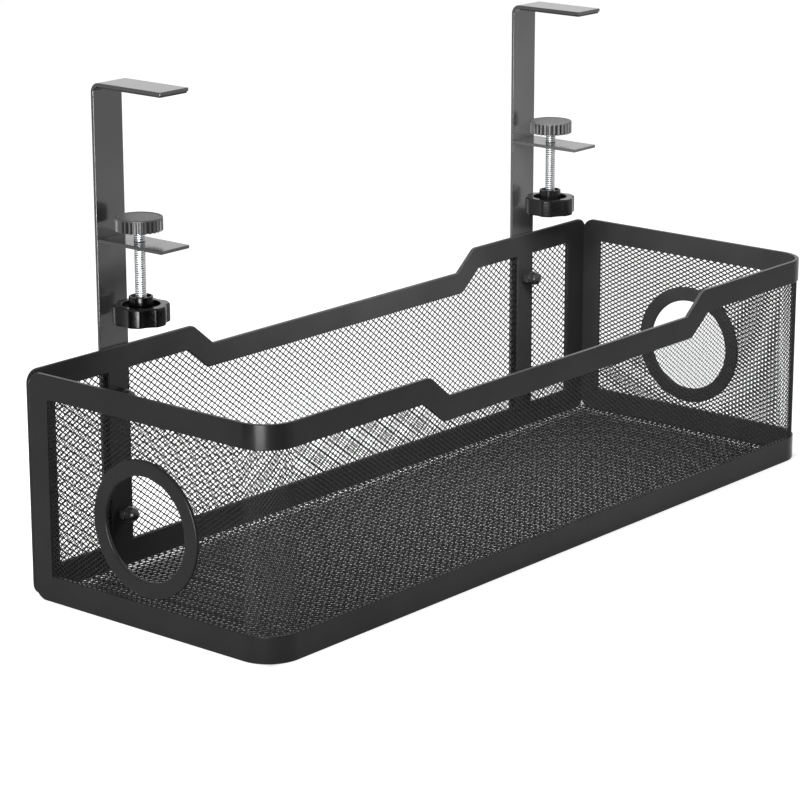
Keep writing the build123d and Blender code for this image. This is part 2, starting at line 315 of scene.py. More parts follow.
class Finish:
    """A material under construction: its nodes, its links and its shader."""

    def __init__(self, name):
        self.material = bpy.data.materials.new(name)
        self.material.use_nodes = True
        self.nodes = self.material.node_tree.nodes
        self.links = self.material.node_tree.links
        self.shader = self.nodes["Principled BSDF"]
        self.coordinates = self.nodes.new("ShaderNodeTexCoord")

    def noise(self, scale, detail=2.0):
        """Noise in the object's own coordinates, scale in grains to the metre."""
        node = self.nodes.new("ShaderNodeTexNoise")
        node.inputs["Scale"].default_value = scale
        node.inputs["Detail"].default_value = detail
        self.links.new(self.coordinates.outputs["Object"], node.inputs["Vector"])
        return node.outputs["Fac"]

    def between(self, factor, low, high, start=0.35, end=0.65):
        """A number that goes from low to high as the factor goes from start to end."""
        node = self.nodes.new("ShaderNodeMapRange")
        node.inputs["From Min"].default_value = start
        node.inputs["From Max"].default_value = end
        node.inputs["To Min"].default_value = low
        node.inputs["To Max"].default_value = high
        self.links.new(factor, node.inputs["Value"])
        return node.outputs["Result"]

    def colours(self, factor, low, high):
        """A colour that goes from low to high with the factor."""
        node = self.nodes.new("ShaderNodeMix")
        node.data_type = "RGBA"
        node.inputs["A"].default_value = (*low, 1)
        node.inputs["B"].default_value = (*high, 1)
        self.links.new(self.between(factor, 0, 1), node.inputs["Factor"])
        return node.outputs["Result"]

    def distance(self, centre, axes, start, end):
        """0 to 1 as the distance from a centre goes from start to end. An axis of 0 isn't counted."""
        mapping = self.nodes.new("ShaderNodeMapping")
        mapping.inputs["Location"].default_value = [-spot * axis for spot, axis in zip(centre, axes)]
        mapping.inputs["Scale"].default_value = axes
        self.links.new(self.coordinates.outputs["Object"], mapping.inputs["Vector"])
        size = self.nodes.new("ShaderNodeVectorMath")
        size.operation = "LENGTH"
        self.links.new(mapping.outputs["Vector"], size.inputs[0])
        return self.between(size.outputs["Value"], 0, 1, start, end)

    def larger(self, first, second):
        """The larger of two numbers."""
        node = self.nodes.new("ShaderNodeMath")
        node.operation = "MAXIMUM"
        self.links.new(first, node.inputs[0])
        self.links.new(second, node.inputs[1])
        return node.outputs[0]

    def paint_shade(self, colour, kept, dark):
        """Painted shade: the colour where the number is 1, and a dark grey where it is 0."""
        mix = self.nodes.new("ShaderNodeMix")
        mix.data_type = "RGBA"
        mix.inputs["A"].default_value = (dark, dark, dark, 1)
        self.links.new(colour, mix.inputs["B"])
        self.links.new(kept, mix.inputs["Factor"])
        return mix.outputs["Result"]

    def feed(self, socket, value):
        """Links a value to one of the shader's sockets."""
        self.links.new(value, self.shader.inputs[socket])

    def bump(self, height, depth, strength=1.0):
        """Bump of the given depth in metres."""
        node = self.nodes.new("ShaderNodeBump")
        node.inputs["Strength"].default_value = strength
        node.inputs["Distance"].default_value = depth
        self.links.new(height, node.inputs["Height"])
        self.feed("Normal", node.outputs["Normal"])


def powder_coat(name, grey, roughness, specular=0.5):
    """Satin black powder coat: a fine orange peel, and slow drifts of tone and gloss."""
    finish = Finish(name)
    dark = (grey * 0.88,) * 3
    light = (grey * 1.1, grey * 1.1, grey * 1.13)
    finish.feed("Base Color", finish.colours(finish.noise(35), dark, light))
    finish.feed("Roughness", finish.between(finish.noise(260), roughness - 0.015, roughness + 0.02))
    finish.bump(finish.noise(2600), 0.01 * MM, 0.5)
    finish.shader.inputs["Specular IOR Level"].default_value = specular
    return finish.material


def wire_coat(name, low, high, specular):
    """Black coated wire: thicker drops of coating here and there."""
    finish = Finish(name)
    finish.feed("Base Color", finish.colours(finish.noise(500), (low,) * 3, (high,) * 3))
    finish.feed("Roughness", finish.between(finish.noise(1500), 0.38, 0.55))
    finish.bump(finish.noise(4000), 0.02 * MM, 0.6)
    finish.shader.inputs["Specular IOR Level"].default_value = specular
    return finish.material


def bright_zinc(side):
    """Bright zinc plate of a clamp screw, with painted shade darkening it down in the thread."""
    low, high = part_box(f"clamp_screw_{side}")
    crest = (high.x - low.x) / 2
    finish = Finish(f"bright_zinc_{side}")
    plate = finish.colours(finish.noise(300), (0.6, 0.61, 0.62), (0.7, 0.71, 0.72))
    # Painted shade: the thread's roots are darkened towards a dark grey, and the crests keep the plate's
    # colour.
    root = crest - THREAD_DEPTH
    unshaded_crest = finish.distance((low + high) / 2, (1, 1, 0), root + 0.05 * MM, crest - 0.1 * MM)
    finish.feed("Base Color", finish.paint_shade(plate, unshaded_crest, 0.06))
    finish.feed("Roughness", finish.between(finish.noise(900), 0.36, 0.44))
    finish.bump(finish.noise(6000), 0.003 * MM, 0.5)
    finish.shader.inputs["Metallic"].default_value = 1.0
    return finish.material


def moulded(name, grey, roughness, grain, specular=0.5):
    """Moulded black plastic, with a fine grain."""
    finish = Finish(name)
    finish.feed("Base Color", finish.colours(finish.noise(120), (grey * 0.85,) * 3, (grey * 1.12,) * 3))
    finish.feed("Roughness", finish.between(finish.noise(700), roughness - 0.03, roughness + 0.05))
    finish.bump(finish.noise(3500), grain, 0.5)
    finish.shader.inputs["Specular IOR Level"].default_value = specular
    return finish.material


def ribbed_plastic(side):
    """Matt black plastic of a pad, with painted shade, nearly black, in the grooves down its side."""
    low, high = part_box(f"clamp_pad_{side}")
    groove = (high.x - low.x) / 2 - PAD_GROOVE_DEPTH
    rim = high.z - PAD_RIM
    finish = Finish(f"pad_matt_{side}")
    plain = finish.colours(finish.noise(120), (0.08,) * 3, (0.098,) * 3)
    # Painted shade: the grooves below the rim are darkened to nearly black, and the ribs and the rim keep
    # the plastic's colour.
    unshaded_rib = finish.distance((low + high) / 2, (1, 1, 0), groove + 0.2 * MM, groove + 0.8 * MM)
    unshaded_rim = finish.distance((0, 0, 0), (0, 0, 1), rim - PAD_GROOVE_END, rim)
    finish.feed("Base Color", finish.paint_shade(plain, finish.larger(unshaded_rib, unshaded_rim), 0.003))
    finish.feed("Roughness", finish.between(finish.noise(700), 0.45, 0.53))
    finish.bump(finish.noise(3500), 0.02 * MM, 0.5)
    return finish.material


def liner_rubber():
    """Matt black rubber."""
    finish = Finish("liner_rubber_finish")
    finish.feed("Base Color", finish.colours(finish.noise(200), (0.012,) * 3, (0.022,) * 3))
    finish.feed("Roughness", finish.between(finish.noise(600), 0.7, 0.85))
    finish.bump(finish.noise(2200), 0.03 * MM, 0.7)
    return finish.material


frame_coat = powder_coat("frame_coat", 0.033, 0.24, 0.1)
strip_coat = powder_coat("strip_coat", 0.042, 0.14, 0.7)
wall_wire = wire_coat("wall_wire", 0.01, 0.02, 0.2)
# The floor's wire is a darker, less glossy copy of the wall's wire: painted shade on the tray's floor.
floor_wire_painted_shade = wire_coat("floor_wire_painted_shade", 0.007, 0.014, 0.1)
knob_gloss = moulded("knob_gloss", 0.005, 0.17, 0.004 * MM, 0.17)
bolt_black = powder_coat("bolt_black_oxide", 0.016, 0.3)
rubber = liner_rubber()


# Rails


def dipped_block(name, low, high, level, inset):
    """A block split at the dip's corners, and moved down between them at the given level."""
    piece = start_block(name, low, high)
    corners = dip_corners(inset)
    with editing(piece):
        for x in corners:
            bpy.ops.mesh.select_all(action="SELECT")
            bpy.ops.mesh.bisect(plane_co=(x, 0, 0), plane_no=(1, 0, 0))
        in_dip = (corners[1] - TINY, corners[2] + TINY)
        pick(piece, "VERT", lambda v: in_dip[0] < v.co.x < in_dip[1] and abs(v.co.z - level) < TINY)
        bpy.ops.transform.translate(value=(0, 0, -DIP_DEPTH))
    return piece


def above_dip(front, rear):
    """What the dip takes away over a long rail."""
    low = (tray_low.x - SPARE, front, tray_high.z)
    high = (tray_high.x + SPARE, rear, tray_high.z + SPARE)
    return dipped_block("above_dip", low, high, tray_high.z, 0)


def round_dip(piece):
    """Rounds the dip's outer corners on the rim and the inner ones on the window."""
    rim = dip_corners(0)
    window = dip_corners(TOP_RAIL)
    places = [(rim[0], tray_high.z), (rim[3], tray_high.z)]
    places += [(window[1], window_top - DIP_DEPTH), (window[2], window_top - DIP_DEPTH)]

    def at_corner(edge):
        spot = middle(edge)
        return runs_along(edge, 1) and any(math.hypot(spot.x - x, spot.z - z) < 0.1 * MM for x, z in places)

    with editing(piece):
        pick(piece, "EDGE", at_corner)
        bpy.ops.mesh.bevel(offset=DIP_ROUND, segments=5, affect="EDGES")


def make_wrap_rails():
    """Rails of the left end, the front and the right end, bent from one folded band."""
    low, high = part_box("wrap_frame")
    piece = start_block("rails_wrap", low, high)
    with editing(piece):
        pick(piece, "FACE", lambda f: abs(f.normal.z) > 0.5 or f.normal.y > 0.5)
        bpy.ops.mesh.delete(type="FACE")
        pick(piece, "EDGE", lambda e: runs_along(e, 2) and middle(e).y < low.y + TINY)
        bpy.ops.mesh.bevel(offset=BEND_RADIUS, segments=BEND_STEPS, affect="EDGES")
    wall = piece.modifiers.new("wall", "SOLIDIFY")
    wall.thickness = RAIL_THICKNESS
    wall.offset = -1
    apply(piece, wall)
    with editing(piece):
        pick(piece, "EDGE", lambda e: runs_along(e, 0) and middle(e).y > high.y - TINY)
        bpy.ops.mesh.bevel(offset=RAIL_CORNER, segments=8, affect="EDGES")
    window = dipped_block(
        "wrap_window",
        (low.x - SPARE, low.y - SPARE, BOTTOM_RAIL),
        (high.x + SPARE, high.y - END_RAIL, window_top),
        window_top,
        TOP_RAIL,
    )
    cut(piece, window, above_dip(low.y - SPARE, low.y + SPARE))
    round_dip(piece)
    round_edges(piece, RAIL_EDGE)
    return place(piece, "tray", "frame_black", frame_coat, "wrap_frame")


def make_back_rails():
    """Flat back frame, with its two upright bars."""
    low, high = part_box("back_frame")
    piece = start_block("rails_back", low, high)
    with editing(piece):
        pick(piece, "EDGE", lambda e: runs_along(e, 1))
        bpy.ops.mesh.bevel(offset=RAIL_CORNER, segments=8, affect="EDGES")
    window = dipped_block(
        "back_window",
        (low.x + BACK_SIDE_RAIL, low.y - SPARE, BOTTOM_RAIL),
        (high.x - BACK_SIDE_RAIL, high.y + SPARE, window_top),
        window_top,
        TOP_RAIL,
    )
    for side in SIDES:
        strip_low, strip_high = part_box(f"bracket_{side}")
        middle_x = (strip_low.x + strip_high.x) / 2
        bar_low = (middle_x - BAR_WIDTH / 2, low.y - 2 * SPARE, 0)
        bar_high = (middle_x + BAR_WIDTH / 2, high.y + 2 * SPARE, tray_high.z)
        cut(window, start_block("bar", bar_low, bar_high))
    cut(piece, window, above_dip(low.y - SPARE, high.y + SPARE))
    round_dip(piece)
    round_edges(piece, RAIL_EDGE)
    return place(piece, "tray", "frame_black", frame_coat, "back_frame")


def make_ring(side):
    """Ring rolled over the edge of the mesh round a cable port."""
    low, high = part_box(f"port_ring_{side}")
    centre = (low + high) / 2
    bpy.ops.object.select_all(action="DESELECT")
    bpy.ops.mesh.primitive_circle_add(
        vertices=RING_STEPS,
        radius=PORT_RADIUS,
        location=(low.x, centre.y, centre.z),
        rotation=(0, math.pi / 2, 0),
    )
    piece = settle(bpy.context.object, f"ring_{side}")
    with editing(piece):
        bpy.ops.mesh.select_all(action="SELECT")
        bpy.ops.mesh.extrude_edges_move()
        wider = (PORT_RADIUS + RING_WIDTH) / PORT_RADIUS
        bpy.ops.transform.resize(value=(1, wider, wider), center_override=(low.x, centre.y, centre.z))
        bpy.ops.mesh.select_all(action="SELECT")
        bpy.ops.mesh.extrude_region_move(TRANSFORM_OT_translate={"value": (high.x - low.x, 0, 0)})
        bpy.ops.mesh.select_all(action="SELECT")
        bpy.ops.mesh.normals_make_consistent(inside=False)
    round_edges(piece, RING_EDGE, 4)
    return place(piece, "tray", "frame_black", frame_coat, f"port_ring_{side}")


# Brackets and clamps


def make_strip(side):
    """Bracket: a flat strip, bent forward into a hook at the top."""
    low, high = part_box(f"bracket_{side}")
    bend_y = high.y - STRIP_BEND
    bend_z = high.z - STRIP_BEND
    front_face = high.y - STRIP_THICKNESS
    piece = start_block(f"hook_strip_{side}", (low.x, front_face, low.z), (high.x, high.y, bend_z))
    with editing(piece):
        pick(piece, "FACE", lambda f: f.normal.z > 0.9)
        bpy.ops.mesh.spin(steps=10, angle=-math.pi / 2, center=(low.x, bend_y, bend_z), axis=(1, 0, 0))
        bpy.ops.mesh.extrude_region_move(TRANSFORM_OT_translate={"value": (0, low.y - bend_y, 0)})
        bpy.ops.mesh.select_all(action="SELECT")
        bpy.ops.mesh.remove_doubles(threshold=TINY)
        bpy.ops.mesh.normals_make_consistent(inside=False)
    round_edges(piece, STRIP_EDGE)
    return place(piece, "tray", "bracket_black", strip_coat, f"bracket_{side}")


def make_lip(side):
    """Lip that carries the clamp screw."""
    low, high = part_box(f"clamp_lip_{side}")
    screw_low, screw_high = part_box(f"clamp_screw_{side}")
    axis = (screw_low + screw_high) / 2
    radius = (screw_high.x - screw_low.x) / 2 + RUNNING_CLEARANCE
    piece = start_block(f"lip_{side}", low, high)
    cut(piece, start_upright("hole", radius, axis, low.z - SPARE, high.z + SPARE, HOLE_STEPS))
    round_edges(piece, STRIP_EDGE, 2)
    return place(piece, "tray", "bracket_black", strip_coat, f"clamp_lip_{side}")


def make_liner(side):
    """Soft strip under the hook."""
    low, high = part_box(f"hook_liner_{side}")
    piece = start_block(f"liner_{side}", low, high)
    round_edges(piece, LINER_EDGE, 2)
    return place(piece, "tray", "liner_rubber", rubber, f"hook_liner_{side}")


def make_screw(side):
    """Clamp screw: one tooth of the thread, wound up the screw and cut flat at both ends."""
    low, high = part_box(f"clamp_screw_{side}")
    centre = (low + high) / 2
    radius = (high.x - low.x) / 2
    bpy.ops.object.select_all(action="DESELECT")
    bpy.ops.mesh.primitive_circle_add(vertices=6, radius=1, rotation=(math.pi / 2, 0, 0))
    piece = settle(bpy.context.object, f"screw_{side}")
    with editing(piece):
        pick(piece, "VERT", lambda v: v.co.x < -0.1)
        bpy.ops.mesh.delete(type="VERT")
        bpy.ops.mesh.select_all(action="SELECT")
        tooth = (THREAD_DEPTH / math.cos(math.pi / 6), 1, THREAD_PITCH / 2)
        bpy.ops.transform.resize(value=tooth, center_override=(0, 0, 0))
        bpy.ops.transform.translate(value=(radius - THREAD_DEPTH, 0, low.z - THREAD_PITCH))
    winding = piece.modifiers.new("winding", "SCREW")
    winding.axis = "Z"
    winding.screw_offset = THREAD_PITCH
    winding.iterations = math.ceil((high.z - low.z) / THREAD_PITCH) + 3
    winding.steps = winding.render_steps = 24
    winding.use_merge_vertices = False
    apply(piece, winding)
    with editing(piece):
        bpy.ops.mesh.select_all(action="SELECT")
        bpy.ops.mesh.remove_doubles(threshold=TINY)
        for z, outward in ((low.z, -1), (high.z, 1)):
            bpy.ops.mesh.select_all(action="SELECT")
            bpy.ops.mesh.bisect(
                plane_co=(0, 0, z), plane_no=(0, 0, outward), clear_outer=True, use_fill=True
            )
        bpy.ops.mesh.select_all(action="SELECT")
        bpy.ops.mesh.normals_make_consistent(inside=False)
        bpy.ops.transform.translate(value=(centre.x, centre.y, 0))
    activate(piece)
    bpy.ops.object.shade_smooth_by_angle(angle=math.radians(30))
    return place(piece, f"screw_{side}", "zinc", bright_zinc(side), f"clamp_screw_{side}")


def make_pad(side):
    """Round pad: a disc with a smooth rim, grooved down its side, and a bore for the screw."""
    low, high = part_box(f"clamp_pad_{side}")
    axis = (low + high) / 2
    radius = (high.x - low.x) / 2
    steps = PAD_STEPS * PAD_RIBS
    under_rim = high.z - PAD_RIM
    piece = start_upright(f"pad_{side}", radius, axis, low.z, high.z, steps)

    def in_groove(vertex):
        spot = vertex.co - axis
        step = round(math.atan2(spot.y, spot.x) / math.tau * steps) % PAD_STEPS
        return step < PAD_GROOVE_STEPS and vertex.co.z < under_rim - TINY

    def on_top_edge(edge):
        spot = middle(edge)
        return spot.z > high.z - TINY and (spot - axis).xy.length > radius - 0.1 * MM

    with editing(piece):
        for z in (under_rim, under_rim - PAD_GROOVE_END):
            bpy.ops.mesh.select_all(action="SELECT")
            bpy.ops.mesh.bisect(plane_co=(0, 0, z), plane_no=(0, 0, 1))
        pick(piece, "VERT", in_groove)
        narrower = 1 - PAD_GROOVE_DEPTH / radius
        bpy.ops.transform.resize(value=(narrower, narrower, 1), center_override=axis)
        pick(piece, "FACE", lambda f: f.normal.z > 0.9 and f.calc_center_median().z > high.z - TINY)
        bpy.ops.mesh.inset(thickness=PAD_FACE_BORDER, depth=0)
        bpy.ops.mesh.inset(thickness=PAD_FACE_SLOPE, depth=-PAD_FACE_DROP)
        pick(piece, "EDGE", on_top_edge)
        bpy.ops.mesh.bevel(offset=PAD_RIM_ROUND, segments=3, affect="EDGES")
    screw_low, screw_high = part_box(f"clamp_screw_{side}")
    bore = (screw_high.x - screw_low.x) / 2 + RUNNING_CLEARANCE
    bore_top = screw_high.z + SCREW_END_CLEARANCE
    cut(piece, start_upright("bore", bore, axis, low.z - SPARE, bore_top, HOLE_STEPS))
    smooth(piece, 30)
    return place(piece, f"pad_{side}", "pad_plastic", ribbed_plastic(side), f"clamp_pad_{side}")


def make_knob(side):
    """Six-lobed knob: scalloped, with a dished top and a round hub in the dish, recessed round the screw."""
    low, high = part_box(f"clamp_knob_{side}")
    axis = (low + high) / 2
    radius = (high.y - low.y) / 2
    body_top = low.z + KNOB_BODY
    piece = start_upright(f"knob_{side}", radius, axis, low.z, body_top, KNOB_STEPS)
    reach = radius + SCALLOP_RADIUS - SCALLOP_DEPTH
    for lobe in range(KNOB_LOBES):
        angle = lobe * math.tau / KNOB_LOBES
        spot = Vector((axis.x + reach * math.cos(angle), axis.y + reach * math.sin(angle), 0))
        scallop = start_upright("scallop", SCALLOP_RADIUS, spot, low.z - SPARE, body_top + SPARE, KNOB_STEPS)
        cut(piece, scallop)
    with editing(piece):
        bpy.ops.mesh.select_all(action="SELECT")
        bpy.ops.mesh.remove_doubles(threshold=0.3 * MM)
        pick(piece, "EDGE", lambda e: runs_along(e, 2) and e.calc_face_angle(0) > math.radians(20))
        bpy.ops.mesh.bevel(offset=LOBE_ROUND, segments=3, affect="EDGES", clamp_overlap=True)
    round_edges(piece, KNOB_RIM, 4, 60)
    dish_floor = body_top - DISH_DEPTH
    cut(piece, start_upright("dish", DISH_RADIUS, axis, dish_floor, high.z, DISH_STEPS))
    hub = start_upright("hub", HUB_RADIUS, axis, dish_floor - HUB_FOOT, high.z, HUB_STEPS)
    with editing(hub):
        pick(hub, "FACE", lambda f: f.normal.z > 0.9)
        bpy.ops.mesh.inset(thickness=HUB_WALL, depth=0)
        bpy.ops.mesh.inset(thickness=HUB_SLOPE, depth=-HUB_RECESS)
    combine(piece, hub, "UNION")
    round_edges(piece, KNOB_EDGE, 3, 60)
    return place(piece, f"screw_{side}", "knob_plastic", knob_gloss, f"clamp_knob_{side}")


# Bolts and cap nuts


def make_bolt(side, level):
    """Button-head bolt, its head behind the bracket."""
    low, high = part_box(f"bolt_{side}_{level}")
    axis = (low + high) / 2
    face = high.y - BOLT_HEAD_HEIGHT
    piece = start_lying(f"bolt_head_{side}_{level}", BOLT_HEAD_RADIUS, axis, face, high.y, BOLT_HEAD_STEPS)
    with editing(piece):
        pick(piece, "FACE", lambda f: f.normal.y > 0.9)
        bpy.ops.mesh.region_to_loop()
        bpy.ops.mesh.bevel(offset=BOLT_HEAD_ROUND, segments=6, affect="EDGES")
    socket_radius = SOCKET_WIDTH / math.sqrt(3)
    cut(piece, start_lying("socket", socket_radius, axis, high.y - SOCKET_DEPTH, high.y + SPARE, 6))
    shank = start_lying("shank", BOLT_RADIUS, axis, low.y, face + SHANK_IN_HEAD, SHANK_STEPS)
    combine(piece, shank, "UNION")
    round_edges(piece, BOLT_EDGE, 2, 50)
    return place(piece, "tray", "bolt_black", bolt_black, f"bolt_{side}_{level}")


def make_cap_nut(side, level):
    """Domed hexagonal nut on the bolt's end, inside the basket."""
    low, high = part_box(f"cap_nut_{side}_{level}")
    axis = (low + high) / 2
    face = high.y - NUT_HEX
    piece = start_lying(f"nut_{side}_{level}", NUT_WIDTH / math.sqrt(3), axis, face, high.y, 6)
    round_edges(piece, NUT_EDGE, 2, 50)
    dome_radius = NUT_WIDTH / 2 - DOME_STEP
    dome_y = low.y + dome_radius
    bpy.ops.object.select_all(action="DESELECT")
    bpy.ops.mesh.primitive_uv_sphere_add(
        segments=SHANK_STEPS,
        ring_count=SHANK_STEPS // 2,
        radius=dome_radius,
        location=(axis.x, dome_y, axis.z),
        rotation=ALONG_Y,
    )
    dome = settle(bpy.context.object, "dome")
    combine(dome, start_lying("neck", dome_radius, axis, dome_y, face + NECK_IN_NUT, SHANK_STEPS), "UNION")
    combine(piece, dome, "UNION")
    smooth(piece, 35)
    return place(piece, "tray", "bolt_black", bolt_black, f"cap_nut_{side}_{level}")


# Woven mesh


def even_columns(low, high, width, wire):
    """Columns of crossings half a diamond apart: place along the sheet, and the wire's radius, of each."""
    return [(low + i * width / 2, wire) for i in range(math.floor((high - low) / width * 2) + 1)]


def weave(name, columns, rise, height, inside, surface):
    """Two families of wires that pass over and under each other at every corner of a diamond.

    Crossing i, j is in column i, half a diamond's height times j above the lowest row, where i + j is even.
    inside says which flat places have wire. surface turns a flat place, and a height off the sheet, into a
    point of space.
    """
    rows = range(math.floor((rise[1] - rise[0]) / height * 2) + 1)
    spots = {}
    for i, (s, wire) in enumerate(columns):
        for j in rows:
            t = rise[0] + j * height / 2
            if (i + j) % 2 == 0 and inside(s, t):
                spots[i, j] = (s, t)
    last = len(columns) - 1
    points, faces = [], []
    for lean in (1, -1):
        rings = {}
        for (i, j), (s, t) in spots.items():
            if (i - 1, j - lean) not in spots and (i + 1, j + lean) not in spots:
                continue
            before, after = max(i - 1, 0), min(i + 1, last)
            step = (columns[after][0] - columns[before][0]) / (after - before)
            length = math.hypot(step, height / 2)
            wire = columns[i][1]
            across = (-lean * height / 2 / length * wire, step / length * wire)
            lift = OVER_AND_UNDER * wire * lean * (1 if i % 2 else -1)
            rings[i, j] = len(points)
            points.append(surface(s + across[0], t + across[1], lift))
            points.append(surface(s, t, lift + wire))
            points.append(surface(s - across[0], t - across[1], lift))
            points.append(surface(s, t, lift - wire))
        for (i, j), a in rings.items():
            b = rings.get((i + 1, j + lean))
            if b is not None:
                faces += [(a + k, a + (k + 1) % 4, b + (k + 1) % 4, b + k) for k in range(4)]
            else:
                faces.append((a, a + 1, a + 2, a + 3))
            if (i - 1, j - lean) not in rings:
                faces.append((a + 3, a + 2, a + 1, a))
    data = bpy.data.meshes.new(name)
    data.from_pydata(points, [], faces)
    data.polygons.foreach_set("use_smooth", [True] * len(data.polygons))
    piece = bpy.data.objects.new(name, data)
    bpy.context.scene.collection.objects.link(piece)
    return piece


mid_sheet = RAIL_THICKNESS / 2
bend_middle_radius = BEND_RADIUS - mid_sheet
bend_length = bend_middle_radius * math.pi / 2
end_rear = back_inner - END_RAIL + HEMMED
end_length = end_rear - (tray_low.y + BEND_RADIUS)
front_length = tray_high.x - tray_low.x - 2 * BEND_RADIUS


def wrap_columns():
    """Columns of crossings along the wrapped sheet, from the left end's rear to the right end's."""
    stretches = (
        (end_length, LEFT_END_MESH),
        (bend_length, BEND_MESH),
        (front_length, FRONT_MESH),
        (bend_length, BEND_MESH),
        (end_length, RIGHT_END_MESH),
    )
    columns = [(0, LEFT_END_MESH[1])]
    for length, (width, wire) in stretches:
        count = round(length / width * 2)
        start = columns[-1][0]
        columns += [(start + length * (i + 1) / count, wire) for i in range(count)]
    return columns


def on_wrap(s, t, height):
    """Point of the wrapped sheet, s along it from the left end's rear, t high, and height outwards."""
    run = s - end_length
    along_front = min(max(run - bend_length, 0), front_length)
    past_front = max(run - bend_length - front_length, 0)
    turned = (min(max(run, 0), bend_length) + min(past_front, bend_length)) / bend_middle_radius
    outward = Vector((-math.cos(turned), -math.sin(turned), 0))
    x = tray_low.x + BEND_RADIUS + along_front
    y = tray_low.y + BEND_RADIUS + max(-run, 0) + max(past_front - bend_length, 0)
    return Vector((x, y, t)) + outward * (bend_middle_radius + height)


ring_low, ring_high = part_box("port_ring_left")
port_y = (ring_low.y + ring_high.y) / 2
port_z = (ring_low.z + ring_high.z) / 2
under_ring = PORT_RADIUS + RING_WIDTH - HEMMED


def in_wrap(s, t):
    """Whether the wrapped sheet has wire at a flat place: in the rails' windows and outside the ports."""
    point = on_wrap(s, t, 0)
    on_front = point.y < tray_low.y + BEND_RADIUS - TINY
    top = window_top + HEMMED - (rail_drop(point.x, TOP_RAIL) if on_front else 0)
    in_port = not on_front and math.hypot(point.y - port_y, t - port_z) < under_ring
    return BOTTOM_RAIL - HEMMED < t < top and not in_port


def make_wrap_mesh(name, columns):
    """Woven mesh of a stretch of the left end, the front and the right end."""
    rise = (BOTTOM_RAIL - 2 * HEMMED, window_top + 2 * HEMMED)
    piece = weave(name, columns, rise, WRAP_HEIGHT, in_wrap, on_wrap)
    return place(piece, "tray", "mesh_black", wall_wire, "wrap_mesh")


def make_back_mesh():
    """Woven mesh of the back wall."""
    low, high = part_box("back_mesh")
    y = (low.y + high.y) / 2
    left = tray_low.x + BACK_SIDE_RAIL - HEMMED
    right = tray_high.x - BACK_SIDE_RAIL + HEMMED
    columns = even_columns(left, right, BACK_DIAMOND[0], BACK_WIRE)

    def inside(s, t):
        return BOTTOM_RAIL - HEMMED < t < window_top + HEMMED - rail_drop(s, TOP_RAIL)

    def surface(s, t, height):
        return Vector((s, y - height, t))

    rise = (BOTTOM_RAIL - HEMMED, window_top + HEMMED)
    piece = weave("mesh_back", columns, rise, BACK_DIAMOND[1], inside, surface)
    return place(piece, "tray", "mesh_black", wall_wire, "back_mesh")


def make_floor_mesh():
    """Woven mesh floor, cut to the inside of the bottom rails."""
    low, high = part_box("floor_mesh")
    z = (low.z + high.z) / 2
    bend = BEND_RADIUS - RAIL_THICKNESS

    def inside(s, t):
        over_x = max(abs(s) - (high.x - bend), 0)
        over_y = max(low.y + bend - t, 0)
        return math.hypot(over_x, over_y) < bend

    def surface(s, t, height):
        return Vector((s, t, z + height))

    columns = even_columns(low.x, high.x, FLOOR_DIAMOND[0], FLOOR_WIRE)
    piece = weave("mesh_floor", columns, (low.y, high.y), FLOOR_DIAMOND[1], inside, surface)
    return place(piece, "tray", "mesh_black", floor_wire_painted_shade, "floor_mesh")


make_wrap_rails()
make_back_rails()
columns = wrap_columns()
join = len(columns) // 4 * 2
make_wrap_mesh("mesh_left_and_front", columns[: join + 1])
make_wrap_mesh("mesh_front_and_right", columns[join:])
make_back_mesh()
make_floor_mesh()
for side in SIDES:
    make_ring(side)
    make_strip(side)
    make_lip(side)
    make_liner(side)
    make_screw(side)
    make_pad(side)
    make_knob(side)
    for level in LEVELS:
        make_bolt(side, level)
        make_cap_nut(side, level)


# Floor, light and camera

FLOOR_SIZE = 14.0
FLOOR_GAP = 0.2 * MM
FLOOR_LIFT = 0.82
FLOOR_GREY = 0.86
# Painted shadow: the floor's grey under the tray's footprint.
FLOOR_GREY_PAINTED_SHADOW = 0.35
AMBIENT = 0.15
CAMERA_PLACE = (-1063.25 * MM, -867.22 * MM, 446.97 * MM)
CAMERA_TURN = math.radians(49.885)
CAMERA_DOWN = math.radians(15.785)
CAMERA_ROLL = math.radians(-0.086)
CAMERA_LENS = 137.06


def make_floor():
    """Pale floor: white to the camera and to gloss, but for the tray's shadow and a painted shadow under the
    tray.
    """
    bpy.ops.object.select_all(action="DESELECT")
    bpy.ops.mesh.primitive_plane_add(size=FLOOR_SIZE)
    floor = bpy.context.object
    floor.name = "floor"
    floor.location.z = -FLOOR_GAP
    material = bpy.data.materials.new("floor_white")
    material.use_nodes = True
    nodes, links = material.node_tree.nodes, material.node_tree.links
    shader = nodes["Principled BSDF"]
    shader.inputs["Roughness"].default_value = 0.9
    shader.inputs["Specular IOR Level"].default_value = 0.1
    shader.inputs["Emission Color"].default_value = (1, 1, 1, 1)
    # Painted shadow under the tray: there the floor is greyer and is not lifted to white.
    clear_of_painted_shadow = outside_painted_shadow(nodes, links)
    grey = nodes.new("ShaderNodeMapRange")
    grey.inputs["To Min"].default_value = FLOOR_GREY_PAINTED_SHADOW
    grey.inputs["To Max"].default_value = FLOOR_GREY
    links.new(clear_of_painted_shadow, grey.inputs["Value"])
    links.new(grey.outputs["Result"], shader.inputs["Base Color"])
    seen = nodes.new("ShaderNodeMath")
    seen.operation = "MULTIPLY"
    links.new(seen_directly(nodes, links), seen.inputs[0])
    links.new(clear_of_painted_shadow, seen.inputs[1])
    lift = nodes.new("ShaderNodeMath")
    lift.operation = "MULTIPLY"
    lift.inputs[1].default_value = FLOOR_LIFT
    links.new(seen.outputs[0], lift.inputs[0])
    links.new(lift.outputs[0], shader.inputs["Emission Strength"])
    floor.data.materials.append(material)


